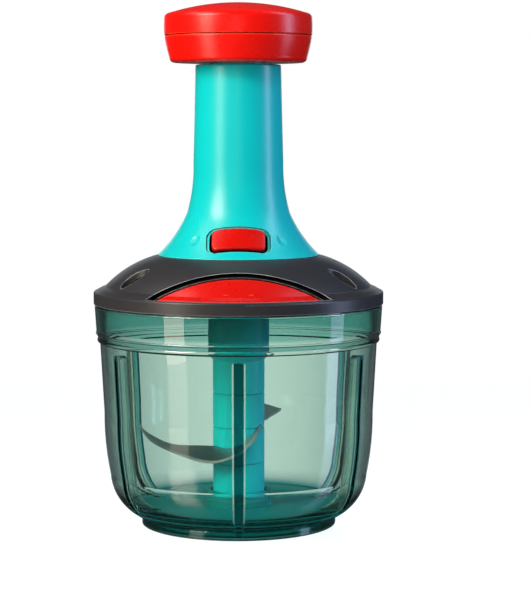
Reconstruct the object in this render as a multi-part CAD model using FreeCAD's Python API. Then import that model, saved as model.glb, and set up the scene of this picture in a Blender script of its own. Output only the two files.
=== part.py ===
import FreeCAD, Part
import math
import os

from FreeCAD import Vector

# Plunger food chopper: a clear bowl with a blade unit on its pivot pin, and a lid with a tower in which
# a plunger slides. The plunger's slotted nut turns a twisted strip, and the strip turns the blades.
# Millimetres. The origin is on the table at the middle of the foot, +Z is up and -Y is the front.
# Everything is drawn with the plunger pressed down and locked, as it is stored.
# The bowl and the blade unit are drawn from the table up. The lid and all that it carries are drawn from
# the mouth of the bowl, where the lid rests, and lifted there at the end.

WALL = 2.4                      # moulded casings
FIT = 0.3                       # gap between parts that move past each other
RUNNING = 0.08                  # radial gap of a shaft in its bush

# Bowl, heights above the table
MOUTH_Z = 114.6
FOOT_RADIUS = 49.0
FOOT_TOP_Z = 4.4
FLOOR_TOP = 8.4
MOUTH_OUTER = 69.8
MOUTH_INNER = 67.3
BEAD_Z = 97.4                   # top of the upper of the two beads
BOWL_SIDE = [(49.5, 4.4), (59.9, 12.4), (64.7, 25.5), (66.6, 38.0), (67.5, 57.0), (69.4, 92.0)]
RIB_COUNT = 6
RIB_WIDTH = 6.0
RIB_RISE = 4.4                  # how far a rib stands into the bowl
RIB_TOP_Z = 88.6
RIB_GROOVE = 2.6                # width of the groove outside each rib
CUP_RADIUS = 16.0
CUP_TOP_Z = 17.0
PIN_RADIUS = 3.0
PIN_BASE_Z = 5.4

# Blade unit, heights above the table
HUB_RADIUS = 13.0
HUB_BOTTOM_Z = 10.0
LOWER_JOINT_Z = 30.8
MIDDLE_JOINT_Z = 49.0
HEAD_JOINT_Z = 66.2
UPPER_BLADE_Z = 52.0
JOINT_EASE = 0.6                # chamfer at the ends of each sleeve
HEAD_RADIUS = 15.3
HEAD_STEP_Z = 83.0
HEAD_TOP_Z = MOUTH_Z - 6.0
SOCKET_DEPTH = 12.0
BLADE_SHEET = 1.2
BLADE_REACH = 57.0
CORE = 8.0                      # square core rod

# Lid, heights above the mouth of the bowl
LID_RADIUS = 72.5
LID_BORE = 64.6
RIM_Z = -3.4
RIM_TOP_Z = 1.8
FLANGE = [(71.6, 3.0), (69.2, 4.4)]                 # its face from the rim inwards
DOME = [(41.2, 20.6), (54.4, 15.1), (66.6, 5.4)]    # and the dome's arc from the ledge down
LEDGE_Z = 20.0                  # the tower stands on it
NECK_BORE = 19.2
NECK_TOP_Z = 33.0
COVER_Z = -5.0                  # underside of the inner cover
COVER_RADIUS = 66.4
SEAL_BORE = 64.4
SEAL_HEIGHT = 2.2
LIP_HALF_WIDTH = 45.3           # the arch over the stop button, on the dome
LIP_TOP_Z = 15.5
WINDOW_HALF_WIDTH = 40.4        # the opening inside it
WINDOW_TOP_Z = 13.2
WINDOW_FOOT_Z = 2.3
FRAME_DEPTH = 2.4               # the sunk frame between the arch and the opening
LENS_HALF_WIDTH = 38.8
LENS_TOP_Z = 12.7
LENS_FOOT_Z = 2.7
LID_SCREW_ANGLES = (-150, -98, 98, 150)
LID_SCREW_RADIUS = 55.0
TOWER_SCREW_ANGLES = (-135, -50, 50, 135)
TOWER_SCREW_RADIUS = 30.0

# Tower: its edge, the flared skirt, its run into the column, and the column
TOWER_EDGE_RADIUS = 40.2
TOWER_SIDE = [(40.2, 21.0), (31.0, 32.0), (25.6, 42.0), (23.4, 52.0), (22.4, 67.0), (21.3, 114.3)]
TOWER_BORE = 18.9
TOWER_TOP_Z = 115.2

# Lock button
BUTTON_WIDTH = 26.0
BUTTON_HEIGHT = 11.6            # along the slope of the skirt
BUTTON_CORNER = 2.8
BUTTON_PLACE = Vector(0, -32.2, 30.3)
SKIRT_TILT = 38.0               # the skirt's outward normal there points this far above the horizontal
PIVOT = Vector(0, -21.6, 38.0)
LOCK_PIN_RADIUS = 1.0

# Plunger
STROKE = 55.0
TUBE_RADIUS = 14.0
TUBE_WALL = 2.0
PISTON_Z = 31.0
PISTON_HEIGHT = 6.0
KNOB_BOTTOM_Z = 116.2
KNOB_FLOOR_Z = KNOB_BOTTOM_Z + 3.6
KNOB_SEAM_Z = 129.5
KNOB_TOP_Z = 145.8
KNOB_RADIUS = 36.7
KNOB_SCREW_RADIUS = 24.0
KNOB_SCREW_ANGLES = (60, 180, 300)

# Drive
TWIST_LEAD = 40.0               # one turn of the strip
STRIP_WIDTH = 8.0
STRIP_THICKNESS = 2.4
STRIP_TOP_Z = 98.6
DRUM_RADIUS = 19.0
DRUM_WALL = 2.2
DRUM_Z = 1.2
DRUM_HEIGHT = 6.0
DRUM_FLOOR = 1.7
JOURNAL_RADIUS = 9.0
BUSH_RADIUS = 11.5
ROLLER_RADIUS = 1.9
CLUTCH_HUB_RADIUS = 15.6
ROD_COLLAR = 5.4
SPIGOT_WIDTH = 13.6             # across the flats
SEAT_Z = 11.8                   # underside of the return spring's seat
SCREW_RADIUS = 1.4
SCREW_HEAD = 2.9

AXIS = Vector(0, 0, 1)
ORIGIN = Vector(0, 0, 0)


# ---- drawing helpers ----

def at(radius, degrees_from_front, z):
    """A point round the axis; 0 degrees is the front and 90 degrees the right side."""
    angle = math.radians(degrees_from_front)
    return Vector(radius * math.sin(angle), -radius * math.cos(angle), z)


def outline(start, *steps):
    """A closed outline in the XZ plane. A step is a point (a line to it), a pair of points (an arc through
    the first to the second) or a longer list of points (a smooth curve through them)."""
    here = Vector(start[0], 0, start[1])
    edges = []
    for step in steps:
        if isinstance(step[0], (int, float)):
            points = [Vector(step[0], 0, step[1])]
            edges.append(Part.LineSegment(here, points[-1]).toShape())
        else:
            points = [Vector(r, 0, z) for r, z in step]
            if len(points) == 2:
                edges.append(Part.Arc(here, *points).toShape())
            else:
                curve = Part.BSplineCurve()
                curve.interpolate([here] + points)
                edges.append(curve.toShape())
        here = points[-1]
    first = Vector(start[0], 0, start[1])
    if here.distanceToPoint(first) > 1e-6:
        edges.append(Part.LineSegment(here, first).toShape())
    return Part.Wire(edges)


def crown(radius, edge_z, top_z):
    """The arc from a point at this radius to the axis, as part of a ball centred on the axis."""
    rise = top_z - edge_z
    ball = (radius ** 2 + rise ** 2) / (2 * rise)
    half = radius / 2
    return [(half, top_z - ball + math.sqrt(ball ** 2 - half ** 2)), (0, top_z)]


def turned(*steps):
    """A solid of revolution about the axis of the chopper."""
    return Part.Face(outline(*steps)).revolve(ORIGIN, AXIS, 360)


def ring(inner, outer, z0, z1):
    solid = Part.makeCylinder(outer, z1 - z0, Vector(0, 0, z0))
    if inner <= 0:
        return solid
    return solid.cut(Part.makeCylinder(inner, z1 - z0 + 2, Vector(0, 0, z0 - 1)))


def box(x0, x1, y0, y1, z0, z1):
    return Part.makeBox(x1 - x0, y1 - y0, z1 - z0, Vector(x0, y0, z0))


def prism(sides, across_flats, z0, z1):
    """A regular prism on the axis; with 4 sides it is a square rod with faces along X and Y."""
    radius = across_flats / 2 / math.cos(math.pi / sides)
    points = []
    for i in range(sides + 1):
        angle = math.pi / sides + 2 * math.pi * i / sides
        points.append(Vector(radius * math.cos(angle), radius * math.sin(angle), z0))
    return Part.Face(Part.makePolygon(points)).extrude(Vector(0, 0, z1 - z0))


def rounded_panel(width, z0, z1, corner, y0, y1):
    """A rounded rectangle in the XZ plane, run along Y."""
    half = width / 2
    bend = corner * (1 - math.sqrt(0.5))
    wire = outline(
        (-half + corner, z0), (half - corner, z0),
        [(half - bend, z0 + bend), (half, z0 + corner)], (half, z1 - corner),
        [(half - bend, z1 - bend), (half - corner, z1)], (-half + corner, z1),
        [(-half + bend, z1 - bend), (-half, z1 - corner)], (-half, z0 + corner),
        [(-half + bend, z0 + bend), (-half + corner, z0)],
    )
    solid = Part.Face(wire).extrude(Vector(0, y1 - y0, 0))
    return solid.translated(Vector(0, y0, 0))


def arch_panel(half_width, z0, z1, y0, y1):
    """The space under an arch in the XZ plane, run along Y."""
    wire = outline((-half_width, z0), [(0, z1), (half_width, z0)])
    return Part.Face(wire).extrude(Vector(0, y1 - y0, 0)).translated(Vector(0, y0, 0))


def spun(shape, degrees):
    copy = shape.copy()
    copy.rotate(ORIGIN, AXIS, degrees)
    return copy


def inset(points, depth):
    """The same run of points moved sideways, to the left of its direction."""
    moved = []
    for i, (r, z) in enumerate(points):
        before = points[max(i - 1, 0)]
        after = points[min(i + 1, len(points) - 1)]
        dr, dz = after[0] - before[0], after[1] - before[1]
        length = math.hypot(dr, dz)
        moved.append((r - depth * dz / length, z + depth * dr / length))
    return moved


def along(profile, wire):
    """A wire section swept along a path without twisting about it."""
    sweep = Part.BRepOffsetAPI.MakePipeShell(profile)
    sweep.setFrenetMode(True)
    sweep.add(wire)
    sweep.build()
    sweep.makeSolid()
    return sweep.shape()


def screw(radius, head_radius, length, place):
    """A small screw driven upwards, its head lowest."""
    head = Part.makeCylinder(head_radius, 1.8, place)
    shank = Part.makeCylinder(radius, length, place)
    drive = Part.makeCylinder(radius * 0.9, 1.0, place)
    return head.fuse(shank).cut(drive).removeSplitter()


# ---- bowl, with its ribs, cup, foot ring and pivot pin ----

def side_steps(side):
    """A side of six points as two arcs and a straight run."""
    return [side[1:3], side[3:5], side[5]]


def bowl_hollow(depth):
    """The space inside the bowl, its wall drawn this far inside the outer face."""
    side = inset(BOWL_SIDE, depth)
    side[0] = (side[0][0] - 1.0, FLOOR_TOP)
    mouth = MOUTH_INNER - depth + WALL
    top = MOUTH_Z + 1
    return turned((0, FLOOR_TOP), side[0], *side_steps(side), (mouth, BEAD_Z + 1.6), (mouth, top), (0, top))


def bowl_body(grown):
    """The outside of the bowl without its foot; grown is negative for a face inside the real one."""
    side = inset(BOWL_SIDE, -grown)
    return turned((0, side[0][1]), side[0], *side_steps(side), (side[-1][0], MOUTH_Z), (0, MOUTH_Z))


def rib_band(width, top):
    """The strip of wall that a rib takes at the front, with a round upper end."""
    half = width / 2
    wire = outline((-half, FOOT_TOP_Z), (half, FOOT_TOP_Z), (half, top - half), [(0, top), (-half, top - half)])
    return Part.Face(wire).extrude(Vector(0, 30, 0)).translated(Vector(0, -MOUTH_OUTER - 6, 0))


def make_rib():
    """A fin on the inside of the wall at the front; its nose is stepped in from its root."""
    step = 0.9
    hollow = bowl_hollow(WALL)
    root = hollow.cut(bowl_hollow(WALL + RIB_RISE - step)).common(rib_band(RIB_WIDTH, RIB_TOP_Z))
    nose = hollow.cut(bowl_hollow(WALL + RIB_RISE)).common(rib_band(RIB_WIDTH - 2 * step, RIB_TOP_Z - step))
    return root.fuse(nose)


def bowl_cup():
    """The cup round the pivot, with two turned beads and a drain notch."""
    cup = turned(
        (CUP_RADIUS - 1.9, FLOOR_TOP - 1), (CUP_RADIUS + 1.2, FLOOR_TOP - 1), (CUP_RADIUS + 1.2, 10.0),
        (CUP_RADIUS + 0.3, 10.4), (CUP_RADIUS + 0.3, 13.4), (CUP_RADIUS, 13.8),
        (CUP_RADIUS, CUP_TOP_Z - 0.5), [(CUP_RADIUS - 0.2, CUP_TOP_Z - 0.1), (CUP_RADIUS - 0.6, CUP_TOP_Z)],
        (CUP_RADIUS - 1.9, CUP_TOP_Z),
    )
    notch = spun(box(-1.6, 1.6, -20, -10, 13.9, CUP_TOP_Z + 1), 72)
    return cup.cut(notch)


def make_bowl():
    bead = BEAD_Z
    collar = 72.0
    body = turned(
        (0, FOOT_TOP_Z), BOWL_SIDE[0], *side_steps(BOWL_SIDE),
        (70.5, bead - 4.7), [(70.75, bead - 3.8), (70.3, bead - 2.9)], (71.0, bead - 1.2),
        [(71.5, bead - 0.6), (71.2, bead)], (collar, MOUTH_Z - 4.8),
        [(collar - 0.1, MOUTH_Z - 4.2), (collar - 0.5, MOUTH_Z - 3.9)],
        (MOUTH_OUTER, MOUTH_Z - 3.9), (MOUTH_OUTER, MOUTH_Z - 0.6),
        [(MOUTH_OUTER - 0.2, MOUTH_Z - 0.2), (MOUTH_OUTER - 0.6, MOUTH_Z)], (0, MOUTH_Z),
    )
    rib = make_rib()
    groove = bowl_body(3.0).cut(bowl_body(-1.1)).common(rib_band(RIB_GROOVE, RIB_TOP_Z - 2.0))
    turns = [360.0 / RIB_COUNT * i for i in range(RIB_COUNT)]
    ribs = [spun(rib, turn) for turn in turns]
    grooves = [spun(groove, turn) for turn in turns]
    foot = ring(FOOT_RADIUS - 5.4, FOOT_RADIUS - 2.8, 1.2, FOOT_TOP_Z + 0.2)
    boss_top = HUB_BOTTOM_Z - 0.6
    boss = turned((0, FLOOR_TOP - 1), (6.4, FLOOR_TOP - 1), (6.0, boss_top), (0, boss_top))
    bowl = body.cut(bowl_hollow(WALL)).fuse(ribs).cut(grooves).fuse([foot, bowl_cup(), boss])
    return bowl.cut(ring(0, PIN_RADIUS, PIN_BASE_Z, boss_top + 1)).removeSplitter()


def make_base_ring():
    """The soft ring round the foot, which stands on the table."""
    outer, top = FOOT_RADIUS, FOOT_TOP_Z
    return turned(
        (outer - 8, 0), (outer - 0.6, 0), [(outer - 0.2, 0.2), (outer, 0.6)], (outer, top - 0.5),
        [(outer - 0.1, top - 0.2), (outer - 0.4, top)], (outer - 2.8, top), (outer - 2.8, 1.2),
        (outer - 8, 1.2),
    )


def make_pivot_pin():
    top = LOWER_JOINT_Z - 5
    return turned(
        (0, PIN_BASE_Z), (PIN_RADIUS, PIN_BASE_Z), (PIN_RADIUS, top - 2), (PIN_RADIUS - 0.6, top - 1),
        crown(PIN_RADIUS - 0.6, top - 1, top),
    )


# ---- blade unit: sleeves and scimitar blades stacked on a square core ----

def core_hole():
    return prism(4, CORE, 0, HEAD_TOP_Z - SOCKET_DEPTH - 4)


def sleeve(z0, z1):
    """A moulded sleeve with eased ends, so that each joint of the stack shows as a fine line."""
    radius, ease = HUB_RADIUS, JOINT_EASE
    return turned(
        (0, z0), (radius - ease, z0), (radius, z0 + ease), (radius, z1 - ease), (radius - ease, z1), (0, z1),
    )


def blade_section(edge, back, run):
    """A section through the blade: square at the back, ground from below to a fine cutting edge."""
    chord = edge - back
    up = run.cross(chord).normalize() * BLADE_SHEET
    bevel = min(0.45, 3.0 / chord.Length)
    bevel_start = back + chord * (1 - bevel)
    return Part.makePolygon([back, bevel_start, edge + up * 0.85, edge + up, back + up, back])


def blade_wing(edges, backs):
    """A scimitar blade lofted between its cutting edge and its back, which is moulded into the hub."""
    sections = []
    for i, (edge, back) in enumerate(zip(edges, backs)):
        run = edges[min(i + 1, len(edges) - 1)] - edges[max(i - 1, 0)]
        sections.append(blade_section(edge, back, run))
    return Part.makeLoft(sections, True, False)


def make_lower_blade():
    """Runs round the front of the hub, sweeps out to the left and turns up at its tip."""
    edges = [
        at(13.7, 60, 50.4), at(15.6, 35, 44.6), at(18.4, 5, 37.4), at(24.0, -34, 32.6), at(32.5, -68, 35.6),
        at(45.0, -92, 40.2), at(BLADE_REACH - 0.6, -111, 46.8),
    ]
    backs = [
        at(11.2, 58, 50.0), at(11.0, 32, 46.0), at(10.8, 0, 40.8), at(11.0, -42, 39.0), at(17.0, -86, 38.0),
        at(36.0, -101, 37.8), at(BLADE_REACH - 1.7, -112, 43.4),
    ]
    return blade_wing(edges, backs)


def make_upper_blade():
    """Runs out to the back right, nearly level, from a flat plate held in its sleeve."""
    z = UPPER_BLADE_Z
    edges = [
        at(11.0, 226, z), at(14.0, 215, z + 0.4), at(20.0, 206, z + 0.8), at(27.0, 192, z + 1.2),
        at(36.0, 178, z + 1.4), at(46.0, 168, z + 1.6), at(BLADE_REACH, 157, z - 3.1),
    ]
    backs = [
        at(12.6, 62, z + 0.2), at(14.2, 88, z), at(16.5, 112, z - 0.1), at(22.0, 130, z - 0.4),
        at(33.0, 144, z - 1.0), at(46.0, 152, z - 1.8), at(BLADE_REACH - 1.5, 156, z - 2.8),
    ]
    return blade_wing(edges, backs).cut(core_hole())


def make_blade_head():
    """The top of the unit: it widens to a socket that takes the drive's hexagon."""
    wide, step = HEAD_RADIUS, HEAD_STEP_Z
    head = turned(
        (0, HEAD_JOINT_Z), (HUB_RADIUS - JOINT_EASE, HEAD_JOINT_Z), (HUB_RADIUS, HEAD_JOINT_Z + JOINT_EASE),
        (HUB_RADIUS, step), (wide - 0.3, step + 2.0), (wide, step + 2.6),
        (wide, step + 6.4), (wide - 0.35, step + 6.8), (wide, step + 7.2),
        (wide, step + 9.8), (wide - 0.35, step + 10.2), (wide, step + 10.6),
        (wide, HEAD_TOP_Z - 0.6), (wide - 0.6, HEAD_TOP_Z), (0, HEAD_TOP_Z),
    )
    socket = prism(6, SPIGOT_WIDTH + 2 * FIT, HEAD_TOP_Z - SOCKET_DEPTH, HEAD_TOP_Z + 1)
    return head.cut([core_hole(), socket])


def make_blade_unit():
    lower = make_lower_blade()
    upper = make_upper_blade()
    bush_radius = PIN_RADIUS + 2.4
    core_foot = LOWER_JOINT_Z - 4
    hub = sleeve(HUB_BOTTOM_Z, LOWER_JOINT_Z)
    core = prism(4, CORE, core_foot, HEAD_TOP_Z - SOCKET_DEPTH - 4)
    return {
        "blade_hub": hub.cut(ring(0, bush_radius, HUB_BOTTOM_Z - 1, core_foot)).cut(core_hole()),
        "pivot_bush": ring(PIN_RADIUS + RUNNING, bush_radius, HUB_BOTTOM_Z, core_foot),
        "lower_blade": lower,
        "middle_sleeve": sleeve(LOWER_JOINT_Z, MIDDLE_JOINT_Z).cut(core_hole()).cut(lower),
        "upper_blade": upper,
        "upper_sleeve": sleeve(MIDDLE_JOINT_Z, HEAD_JOINT_Z).cut(core_hole()).cut(upper).cut(lower),
        "blade_head": make_blade_head(),
        "core_rod": core.cut(ring(0, 1.2, core_foot - 1, core_foot + 2)),
    }


# ---- lid: domed shell, inner cover and seal ----

def lid_side(depth):
    """The lid's face from the rim to the ledge, this far inside the outer one: flange, then dome."""
    return inset(FLANGE + DOME[::-1], depth)


def under_lid(depth):
    """All that lies under the lid's face at this depth."""
    side = lid_side(depth)
    low = side[0][1]
    return turned((0, low), side[0], side[1], side[2], side[3:5], (0, side[4][1]))


def slot_cutter(side):
    """One of the two oval slots, which run down the dome beside the arch."""
    ends = [at(65.0, 61.8 * side, 0), at(54.0, 53.7 * side, 0)]
    long_way = (ends[1] - ends[0]) / 2
    short_way = long_way.cross(AXIS).normalize() * 4.1
    middle = (ends[0] + ends[1]) / 2
    oval = Part.Ellipse(middle + long_way, middle + short_way, middle).toShape()
    return Part.Face(Part.Wire(oval)).extrude(Vector(0, 0, 40))


def make_lid_shell():
    outer = lid_side(0)
    inner = lid_side(WALL)
    rim = LID_RADIUS
    shell = turned(
        (rim - 2.3, RIM_Z), (rim - 0.3, RIM_Z), (rim, RIM_Z + 0.3), (rim, RIM_TOP_Z),
        [(rim - 0.2, RIM_TOP_Z + 0.8), outer[0]], outer[1], outer[2], [outer[3], outer[4]],
        (TOWER_EDGE_RADIUS + 0.3, LEDGE_Z), (NECK_BORE + 2.2, LEDGE_Z), (NECK_BORE + 2.2, NECK_TOP_Z),
        (NECK_BORE, NECK_TOP_Z), (NECK_BORE, LEDGE_Z - WALL), inner[4], [inner[3], (LID_BORE, inner[2][1])],
        (LID_BORE, 0), (rim - 2.3, 0),
    )
    inside = under_lid(1.0)
    rim_space = ring(0, rim - 1.1, 0, 30)
    backing = arch_panel(LIP_HALF_WIDTH + 1.5, RIM_TOP_Z, LIP_TOP_Z + 1.2, -rim, -38)
    backing = backing.common(under_lid(WALL - 0.4).cut(under_lid(FRAME_DEPTH + 1.4)))
    bosses = [Part.makeCylinder(3.4, 20, at(LID_SCREW_RADIUS, a, -2.2)) for a in LID_SCREW_ANGLES]
    posts = bosses[0].fuse(bosses[1:]).common(inside.fuse(ring(0, LID_BORE, -3, 5)))
    cuts = [Part.makeCylinder(1.5, 10, at(LID_SCREW_RADIUS, a, -2.2)) for a in LID_SCREW_ANGLES]
    for angle in TOWER_SCREW_ANGLES:
        cuts.append(Part.makeCylinder(1.8, 6, at(TOWER_SCREW_RADIUS, angle, LEDGE_Z - 4)))
    window = arch_panel(WINDOW_HALF_WIDTH, WINDOW_FOOT_Z, WINDOW_TOP_Z, -rim, -38)
    frame = arch_panel(LIP_HALF_WIDTH, WINDOW_FOOT_Z, LIP_TOP_Z, -rim, -38).cut(under_lid(FRAME_DEPTH))
    cuts += [window.common(rim_space), frame.common(rim_space), slot_cutter(1), slot_cutter(-1)]
    return shell.fuse([posts, backing]).cut(cuts).removeSplitter()


def make_lid_base():
    """The inner cover: it plugs the mouth of the bowl, carries the seal and the drive bush."""
    low, wide, groove = COVER_Z, COVER_RADIUS, SEAL_BORE
    seal_z = low + 1.2
    base = turned(
        (BUSH_RADIUS, low), (wide - 0.5, low), (wide, low + 0.5), (wide, seal_z), (groove, seal_z),
        (groove, seal_z + SEAL_HEIGHT), (wide, seal_z + SEAL_HEIGHT), (wide, -0.4), (wide - 2.8, -0.4),
        (wide - 2.8, -2.2), (17.0, -2.2), (17.0, 0), (BUSH_RADIUS, 0),
    )
    fittings = []
    for side in (-1, 1):
        fittings.append(box(side * 24 - 2, side * 24 + 2, -50, -46, -2.6, 3.4))
        fittings.append(box(side * 8.5 - 1, side * 8.5 + 1, -44, -40, -2.6, 8.4))
    holes = []
    for angle in LID_SCREW_ANGLES:
        holes.append(Part.makeCylinder(1.7, 8, at(LID_SCREW_RADIUS, angle, low - 1.6)))
        holes.append(Part.makeCylinder(3.2, 1.9, at(LID_SCREW_RADIUS, angle, low - 0.1)))
    return base.fuse(fittings).cut(holes)


def make_lid_seal():
    """A soft ring in the cover's groove, with two lips towards the bowl."""
    lip, wide = MOUTH_INNER - FIT, COVER_RADIUS - 0.1
    low = COVER_Z + 1.3
    high = low + SEAL_HEIGHT - 0.2
    return turned(
        (SEAL_BORE, low), (wide, low), (lip, low + 0.3), (wide, low + 0.8), (wide, high - 0.8),
        (lip, high - 0.4), (wide, high), (SEAL_BORE, high),
    )


# ---- tower with its guide collar ----

def skirt_panel(width, height, corner):
    """A rounded rectangle square to the skirt at the lock button, run through it."""
    panel = rounded_panel(width, -height / 2, height / 2, corner, -10, 10)
    panel.rotate(ORIGIN, Vector(1, 0, 0), -SKIRT_TILT)
    return panel.translated(BUTTON_PLACE)


def along_x(radius, half_length, middle):
    """A cylinder along X, centred on a point."""
    return Part.makeCylinder(radius, 2 * half_length, middle - Vector(half_length, 0, 0), Vector(1, 0, 0))


def tower_body(grown):
    """The tower's solid outside, grown or shrunk a little."""
    side = inset(TOWER_SIDE, -grown)
    return turned((0, side[0][1]), side[0], *side_steps(side), (0, side[-1][1]))


def make_tower():
    body = turned(
        (0, LEDGE_Z), (TOWER_EDGE_RADIUS - 0.5, LEDGE_Z), TOWER_SIDE[0], *side_steps(TOWER_SIDE),
        [(21.1, TOWER_TOP_Z - 0.3), (20.5, TOWER_TOP_Z)], (0, TOWER_TOP_Z),
    )
    skirt = inset(TOWER_SIDE, WALL)
    hollow = turned(
        (0, LEDGE_Z - 1), (TOWER_EDGE_RADIUS - WALL - 0.6, LEDGE_Z - 1), skirt[1:3],
        (TOWER_BORE, skirt[3][1] + 7), (TOWER_BORE, TOWER_TOP_Z + 1), (0, TOWER_TOP_Z + 1),
    )
    inside = body.cut(ring(0, NECK_BORE + 2.6, LEDGE_Z - 2, TOWER_SIDE[3][1] + 5))
    fittings = [Part.makeCylinder(3.6, 20, at(TOWER_SCREW_RADIUS, a, LEDGE_Z)) for a in TOWER_SCREW_ANGLES]
    for side in (-1, 1):
        fittings.append(box(side * 9.6 - 1.4, side * 9.6 + 1.4, -30, -20.4, PIVOT.z - 3, PIVOT.z + 3))
    tower = body.cut(hollow).fuse([f.common(inside) for f in fittings])
    window = skirt_panel(BUTTON_WIDTH + 2.4, BUTTON_HEIGHT + 2.0, BUTTON_CORNER + 1.0)
    recess = skirt_panel(BUTTON_WIDTH + 5.6, BUTTON_HEIGHT + 3.0, BUTTON_CORNER + 1.6).cut(tower_body(-0.9))
    cuts = [window, recess, along_x(LOCK_PIN_RADIUS, 12.5, PIVOT)]
    cuts += [Part.makeCylinder(1.4, 9, at(TOWER_SCREW_RADIUS, a, LEDGE_Z - 0.5)) for a in TOWER_SCREW_ANGLES]
    cuts += [Part.makeSphere(7.0, at(37.9, 40 * side, 33.2)) for side in (-1, 1)]
    return tower.cut(cuts).removeSplitter()


def make_tower_collar():
    """The guide bush at the top of the tower, which is also the plunger's upper stop."""
    low = PISTON_Z + PISTON_HEIGHT + STROKE + 0.5
    high = TOWER_TOP_Z - 0.4
    bore = TUBE_RADIUS + RUNNING
    return turned((bore, low), (TOWER_BORE, low), (TOWER_BORE, high), (bore + 0.9, high), (bore, high - 1.0))


# ---- plunger: knob, tube and slotted nut ----

def make_knob_cap():
    rim, low, top = KNOB_RADIUS, KNOB_SEAM_Z + 0.15, KNOB_TOP_Z
    shoulder, shoulder_z = rim - 2.5, top - 5.2
    cap = turned(
        (rim - 3.2, low), (rim - 0.3, low), (rim, low + 0.3), [(rim + 0.1, low + 4.5), (rim, top - 8.4)],
        [(rim - 0.5, top - 6.4), (shoulder, shoulder_z)], crown(shoulder, shoulder_z, top),
        (0, top - WALL), (12.0, top - WALL - 0.7), (24.0, top - WALL - 2.7), (rim - 3.6, top - 7.6),
        (rim - 3.2, top - 8.8),
    )
    inside = ring(0, rim - 1, KNOB_FLOOR_Z, top - 4.2)
    places = [at(KNOB_SCREW_RADIUS, a, KNOB_FLOOR_Z) for a in KNOB_SCREW_ANGLES]
    bosses = [Part.makeCylinder(3.4, 30, place).common(inside) for place in places]
    holes = [Part.makeCylinder(SCREW_RADIUS, 9, place) for place in places]
    return cap.fuse(bosses).cut(holes).removeSplitter()


def make_knob_base():
    low, floor, seam = KNOB_BOTTOM_Z, KNOB_FLOOR_Z, KNOB_SEAM_Z
    sleeve_radius, sleeve_top = TUBE_RADIUS + 2.4, low + 11.5
    base = turned(
        (TUBE_RADIUS, low), (31.6, low), [(33.4, low + 0.7), (34.2, low + 2.4)],
        [(35.5, low + 7.4), (36.5, seam - 0.7)], (36.2, seam - 0.15), (33.4, seam - 0.15),
        [(33.0, low + 7.9), (31.6, floor + 1)], (30.6, floor), (sleeve_radius, floor),
        (sleeve_radius, sleeve_top), (TUBE_RADIUS, sleeve_top),
    )
    holes = []
    for angle in KNOB_SCREW_ANGLES:
        place = at(KNOB_SCREW_RADIUS, angle, low - 1)
        holes.append(Part.makeCylinder(1.7, 8, place))
        holes.append(Part.makeCylinder(3.1, 3.2, place))
    return base.cut(holes)


def make_plunger_tube():
    """The tube that slides in the tower, with a piston flange at its foot."""
    bore, top = TUBE_RADIUS - TUBE_WALL, KNOB_BOTTOM_Z + 11.1
    piston, piston_top = TOWER_BORE - FIT, PISTON_Z + PISTON_HEIGHT
    return turned(
        (bore, PISTON_Z), (piston, PISTON_Z), (piston, piston_top - 0.8), (piston - 0.8, piston_top),
        (TUBE_RADIUS, piston_top), (TUBE_RADIUS, top), (bore, top),
    )


def twisted_bar(width, thickness, z0, z1):
    """A flat bar twisted about the axis, one turn in TWIST_LEAD, lying along X at z = 0."""
    half_w, half_t = width / 2, thickness / 2
    corners = [(-half_w, -half_t), (half_w, -half_t), (half_w, half_t), (-half_w, half_t), (-half_w, -half_t)]
    section = Part.makePolygon([Vector(x, y, z0) for x, y in corners])
    spine = Part.Wire(Part.makeLine(Vector(0, 0, z0), Vector(0, 0, z1)))
    guide = Part.makeHelix(TWIST_LEAD, z1 - z0, 5.0)
    guide.translate(Vector(0, 0, z0))
    sweep = Part.BRepOffsetAPI.MakePipeShell(spine)
    sweep.setAuxiliarySpine(Part.Wire(guide.Edges), True, 0)
    sweep.add(section)
    sweep.build()
    sweep.makeSolid()
    return spun(sweep.shape(), 360 * z0 / TWIST_LEAD)


def make_drive_nut():
    """Turns the strip as it slides along it: its slot follows the twist."""
    z0, z1 = PISTON_Z + 2, PISTON_Z + 12
    play = 0.5
    slot = twisted_bar(STRIP_WIDTH + play, STRIP_THICKNESS + play, z0 - 1, z1 + 1)
    return ring(0, TUBE_RADIUS - TUBE_WALL, z0, z1).cut(slot)


# ---- drive: twisted strip, one-way clutch and coupling ----

def roller_place(i):
    return at(DRUM_RADIUS - DRUM_WALL - ROLLER_RADIUS - 0.05, 120 * i, DRUM_Z + DRUM_FLOOR + 0.1)


def make_drive_rod():
    drum_top = DRUM_Z + DRUM_HEIGHT
    foot = ring(0, ROD_COLLAR, DRUM_Z + DRUM_FLOOR, drum_top + 3.2)
    strip = twisted_bar(STRIP_WIDTH, STRIP_THICKNESS, drum_top, STRIP_TOP_Z)
    return foot.fuse(strip).removeSplitter()


def make_clutch_hub():
    """Three ramps in its rim jam the rollers against the drum when it turns one way."""
    hub = ring(ROD_COLLAR, CLUTCH_HUB_RADIUS, DRUM_Z + DRUM_FLOOR, DRUM_Z + DRUM_HEIGHT - 0.2)
    pockets = []
    for i in range(3):
        place = roller_place(i)
        place.z = DRUM_Z
        pockets.append(Part.makeCylinder(ROLLER_RADIUS + 0.25, 10, place))
        pockets.append(spun(box(-0.4, 4.4, -17, -12.6, DRUM_Z, DRUM_Z + 10), 120 * i))
    return hub.cut(pockets)


def make_clutch_rollers():
    height = DRUM_HEIGHT - DRUM_FLOOR - 0.5
    return Part.makeCompound([Part.makeCylinder(ROLLER_RADIUS, height, roller_place(i)) for i in range(3)])


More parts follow.
